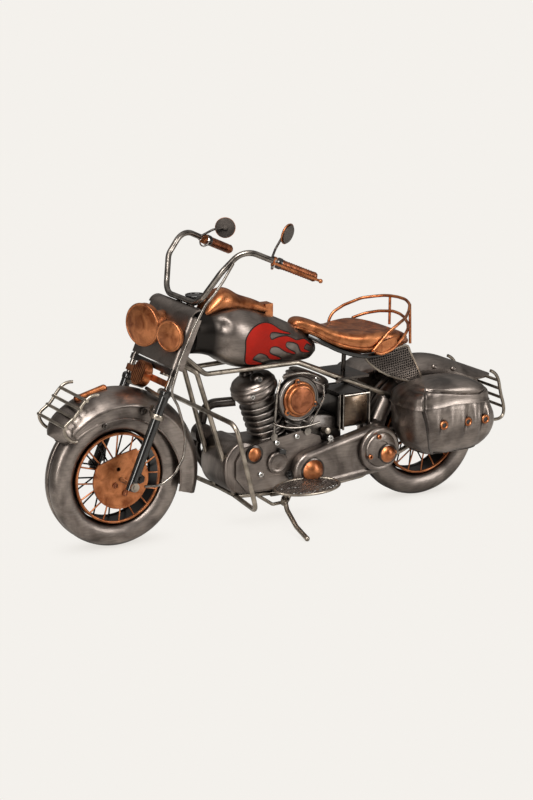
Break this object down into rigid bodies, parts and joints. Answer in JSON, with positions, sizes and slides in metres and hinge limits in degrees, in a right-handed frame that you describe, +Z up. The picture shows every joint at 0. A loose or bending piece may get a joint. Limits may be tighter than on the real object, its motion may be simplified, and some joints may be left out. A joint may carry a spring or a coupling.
{
  "type": "metal model motorcycle",
  "caption": "Free-standing display model of a touring motorcycle in welded sheet metal and wire; the fork steers, both wheels turn and the side stand folds.",
  "frame": {"origin": "on the ground, on the mid-plane, half-way between the two axles", "axes": "+X forward, +Y to the rider's left (the side the side stand is on), +Z up"},
  "size_m": [0.3548, 0.1296, 0.2169],
  "materials": {
    "patinated_steel": "brushed, darkened and clear-coated",
    "copper_plate": "copper-plated steel, mottled satin",
    "bare_rod": "bare drawn rod, clear-coated",
    "black_lacquer": "gloss black lacquer",
    "bright_wire": "bright plated wire"
  },
  "bodies": {
    "frame": {"frame_tubes": "bare_rod", "head_tube": "patinated_steel", "crash_bar": "bare_rod", "fuel_tank": "patinated_steel", "tank_console": "copper_plate", "seat": "copper_plate", "seat_rail": "copper_plate", "seat_mesh_panel": "patinated_steel", "seat_post": "patinated_steel", "crankcase": "patinated_steel", "crankcase_cover": "patinated_steel", "cylinders": "patinated_steel", "cylinder_heads": "patinated_steel", "air_cleaner_housing": "black_lacquer", "air_cleaner_cover": "copper_plate", "pushrods_and_oil_lines": "bare_rod", "primary_cover": "patinated_steel", "clutch_cover": "patinated_steel", "engine_domes": "copper_plate", "filler_cap": "bare_rod", "engine_screws": "bare_rod", "oil_tank": "patinated_steel", "rear_shocks": "patinated_steel", "exhaust_pipe": "black_lacquer", "footboards": "patinated_steel", "rear_fender": "patinated_steel", "saddlebags": "patinated_steel", "saddlebag_lids": "patinated_steel", "bag_rings": "copper_plate", "rear_bumper": "bare_rod", "rear_axle": "bare_rod"},
    "fork": {"fork_legs": "black_lacquer", "fork_tubes": "bare_rod", "fork_yokes": "patinated_steel", "steering_stem": "bare_rod", "front_axle": "bare_rod", "lamp_plate": "patinated_steel", "headlamp": "copper_plate", "spot_lamps": "copper_plate", "grille_lamp": "copper_plate", "handlebar": "bare_rod", "grips": "copper_plate", "levers": "copper_plate", "mirrors": "patinated_steel", "speedometer": "black_lacquer", "brake_cable": "bright_wire", "front_fender": "patinated_steel", "fender_ornament": "copper_plate", "front_bumper": "bare_rod"},
    "front_wheel": {"front_tyre": "patinated_steel", "front_rim": "copper_plate", "front_hub": "bare_rod", "front_spokes": "copper_plate", "brake_disc": "copper_plate"},
    "rear_wheel": {"rear_tyre": "patinated_steel", "rear_rim": "copper_plate", "rear_hub": "bare_rod", "rear_spokes": "copper_plate"},
    "side_stand": {"side_stand_leg": "bare_rod"}
  },
  "joints": [
    {"name": "steering", "type": "hinge", "parent": "frame", "child": "fork", "pos_m": [0.11237, 0, 0.0437], "axis": [-0.3907, 0, 0.9205], "range_deg": [-25, 25]},
    {"name": "front_wheel_spin", "type": "hinge", "parent": "fork", "child": "front_wheel", "pos_m": [0.1225, 0, 0.048], "axis": [0, 1, 0], "continuous": true},
    {"name": "rear_wheel_spin", "type": "hinge", "parent": "frame", "child": "rear_wheel", "pos_m": [-0.1225, 0, 0.048], "axis": [0, 1, 0], "continuous": true},
    {"name": "side_stand_fold", "type": "hinge", "parent": "frame", "child": "side_stand", "pos_m": [0.001, 0.0215, 0.018], "axis": [0, 0.406, 0.9139], "range_deg": [0, 85]}
  ]
}
